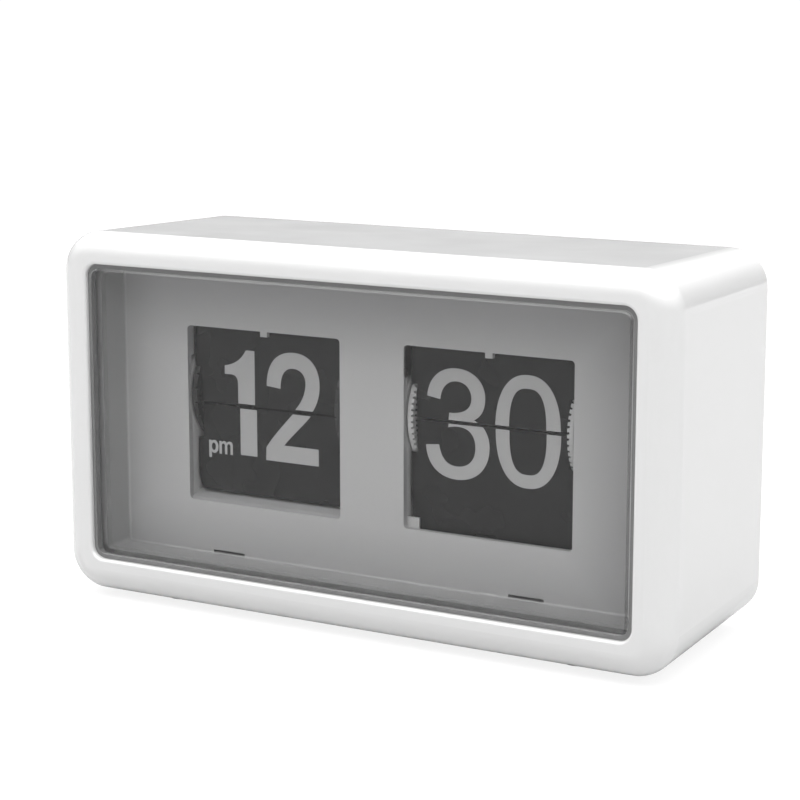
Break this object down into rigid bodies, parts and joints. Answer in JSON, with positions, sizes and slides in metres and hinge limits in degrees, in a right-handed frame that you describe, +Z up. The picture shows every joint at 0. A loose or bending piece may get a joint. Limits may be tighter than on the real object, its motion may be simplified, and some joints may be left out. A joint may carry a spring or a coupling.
{
  "type": "flip number clock",
  "caption": "Rounded white box clock with a smoked window, a recessed grey dial and hours and minutes on falling number leaves.",
  "frame": {"origin": "centre of the footprint, on the plane the four feet stand on", "axes": "+X to the right of a person facing the dial, +Y towards the back, +Z up"},
  "size_m": [0.1646, 0.058, 0.0919],
  "materials": {
    "white_gloss": "gloss",
    "foot_rubber": "matte",
    "smoked_lens": "clear, faintly smoked acrylic",
    "seal_rubber": "matte",
    "dial_grey": "satin",
    "plate_grey": "satin",
    "leaf_black": "satin film with printed numbers",
    "drum_white": "satin",
    "drum_black": "satin",
    "gear_white": "natural acetal",
    "steel": "ground",
    "brass": "turned",
    "screw_steel": "zinc plated",
    "stator_iron": "rolled",
    "copper": "enamelled copper wire",
    "magnet": "sintered",
    "case_black": "fine texture",
    "board_green": "solder mask",
    "can_metal": "drawn can",
    "cover_white": "fine texture",
    "cell_sleeve": "plain printed sleeve",
    "contact_nickel": "nickel plated",
    "wire_red": "PVC",
    "wire_black": "PVC",
    "wheel_grey": "satin"
  },
  "bodies": {
    "housing": {"housing_shell": "white_gloss", "feet": "foot_rubber", "lens": "smoked_lens", "lens_seal": "seal_rubber", "dial_mask": "dial_grey", "hour_leaf_catch": "dial_grey", "minute_leaf_catch": "dial_grey", "inner_screws": "screw_steel", "chassis_base": "plate_grey", "hour_left_plate": "plate_grey", "hour_right_plate": "plate_grey", "minute_left_plate": "plate_grey", "minute_right_plate": "plate_grey", "train_plate": "plate_grey", "train_pillars": "brass", "tie_rods": "steel", "tie_nuts": "brass", "axle_bushes": "brass", "minute_leaves": "leaf_black", "hour_leaves": "leaf_black", "motor_case": "case_black", "motor_lid": "case_black", "stator": "stator_iron", "coil_bobbin": "gear_white", "coil": "copper", "circuit_board": "board_green", "quartz_crystal": "can_metal", "rear_cover": "cover_white", "rear_screws": "screw_steel", "battery": "cell_sleeve", "battery_spring": "contact_nickel", "battery_contact": "contact_nickel", "red_wire": "wire_red", "black_wire": "wire_black"},
    "minute_drum": {"minute_axle": "steel", "minute_hub": "drum_white", "minute_left_disc": "drum_white", "minute_right_disc": "drum_white", "minute_gear": "gear_white", "carry_pinion": "gear_white", "minute_clip": "steel"},
    "hour_drum": {"hour_axle": "steel", "hour_hub": "drum_black", "hour_left_disc": "drum_black", "hour_right_disc": "drum_black", "hour_gear": "gear_white", "hour_clip": "steel"},
    "carry": {"carry_arbor": "steel", "carry_wheel": "gear_white"},
    "drive": {"drive_arbor": "steel", "drive_wheel": "gear_white"},
    "rotor": {"rotor_shaft": "steel", "rotor_magnet": "magnet", "rotor_pinion": "gear_white"},
    "setting": {"setting_arbor": "steel", "setting_gear": "gear_white", "setting_wheel": "wheel_grey"},
    "falling_minute_leaf": {"minute_flap": "leaf_black"},
    "falling_hour_leaf": {"hour_flap": "leaf_black"},
    "door": {"battery_door": "cover_white"}
  },
  "joints": [
    {"name": "minute_drum_turn", "type": "hinge", "parent": "housing", "child": "minute_drum", "pos_m": [0.03075, -0.0009, 0.0515], "axis": [1, 0, 0], "continuous": true},
    {"name": "hour_drum_turn", "type": "hinge", "parent": "housing", "child": "hour_drum", "pos_m": [-0.03075, -0.0009, 0.0515], "axis": [1, 0, 0], "continuous": true},
    {"name": "carry_turn", "type": "hinge", "parent": "housing", "child": "carry", "pos_m": [0, 0.0061, 0.03938], "axis": [1, 0, 0], "continuous": true},
    {"name": "drive_turn", "type": "hinge", "parent": "housing", "child": "drive", "pos_m": [0.058, 0.00836, 0.04047], "axis": [1, 0, 0], "continuous": true},
    {"name": "rotor_turn", "type": "hinge", "parent": "housing", "child": "rotor", "pos_m": [0.066, 0.00357, 0.02731], "axis": [1, 0, 0], "continuous": true},
    {"name": "setting_turn", "type": "hinge", "parent": "housing", "child": "setting", "pos_m": [0.06, 0.0168, 0.05477], "axis": [1, 0, 0], "continuous": true},
    {"name": "minute_leaf_fall", "type": "hinge", "parent": "housing", "child": "falling_minute_leaf", "pos_m": [0.03075, -0.01288, 0.05213], "axis": [1, 0, 0], "range_deg": [0, 179], "deforming": ["minute_flap"]},
    {"name": "hour_leaf_fall", "type": "hinge", "parent": "housing", "child": "falling_hour_leaf", "pos_m": [-0.03075, -0.01289, 0.05108], "axis": [1, 0, 0], "range_deg": [0, 179], "deforming": ["hour_flap"]},
    {"name": "battery_door_tilt", "type": "hinge", "parent": "housing", "child": "door", "pos_m": [-0.067, 0.0262, 0.0144], "axis": [-1, 0, 0], "range_deg": [0, 80]}
  ],
  "couplings": [
    {"joint": "carry_turn", "follows": "minute_drum_turn", "ratio": -0.25},
    {"joint": "hour_drum_turn", "follows": "minute_drum_turn", "ratio": 0.041667},
    {"joint": "drive_turn", "follows": "minute_drum_turn", "ratio": -5},
    {"joint": "rotor_turn", "follows": "minute_drum_turn", "ratio": 30},
    {"joint": "setting_turn", "follows": "minute_drum_turn", "ratio": -2}
  ]
}
